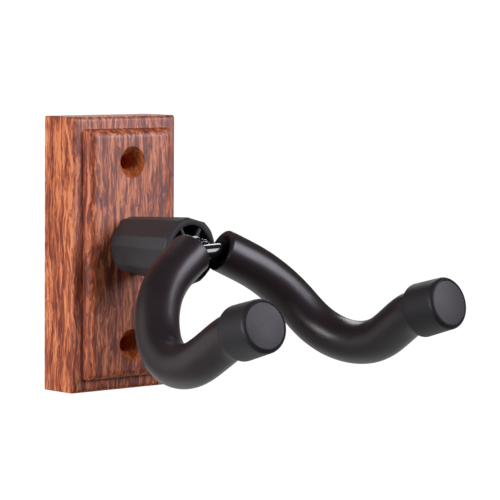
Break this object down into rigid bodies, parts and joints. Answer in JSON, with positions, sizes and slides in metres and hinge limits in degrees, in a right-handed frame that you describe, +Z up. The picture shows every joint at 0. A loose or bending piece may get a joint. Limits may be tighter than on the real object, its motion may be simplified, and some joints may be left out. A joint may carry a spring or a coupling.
{
  "type": "wall guitar hanger",
  "caption": "Wall hanger with a routed hardwood block, ribbed spacer collar and a swivelling yoke of bent rod with padded sleeves and end caps, to cradle a stringed instrument's neck.",
  "frame": {"origin": "middle of the block's back face, halfway between the two screw holes", "axes": "+X to the right when facing the wall, +Y into the wall, +Z up; the yoke reaches out along -Y"},
  "size_m": [0.1244, 0.1708, 0.12],
  "materials": {
    "rosewood": "satin, oiled, upright grain",
    "collar_plastic": "fine matte moulded",
    "black_nylon": "smooth black nylon",
    "zinc_steel": "zinc plated",
    "spring_steel": "oiled spring steel",
    "blue_nylon": "smooth nylon",
    "black_steel": "gloss black coat",
    "sleeve_rubber": "smooth satin foam rubber",
    "cap_rubber": "matte moulded rubber"
  },
  "bodies": {
    "wall_block": {"wood_base": "rosewood", "collar": "collar_plastic", "thrust_washer": "black_nylon", "flat_washer": "zinc_steel", "spring_washer": "spring_steel"},
    "yoke": {"swivel_stud": "black_steel", "hub_weld": "black_steel", "yoke_rod": "black_steel", "lock_nut": "zinc_steel", "lock_nut_insert": "blue_nylon", "sleeve_left": "sleeve_rubber", "sleeve_right": "sleeve_rubber", "cap_left": "cap_rubber", "cap_right": "cap_rubber"}
  },
  "joints": [
    {"name": "yoke_swivel", "type": "hinge", "parent": "wall_block", "child": "yoke", "pos_m": [0, -0.045, 0.0036], "axis": [0, 1, 0], "continuous": true}
  ]
}
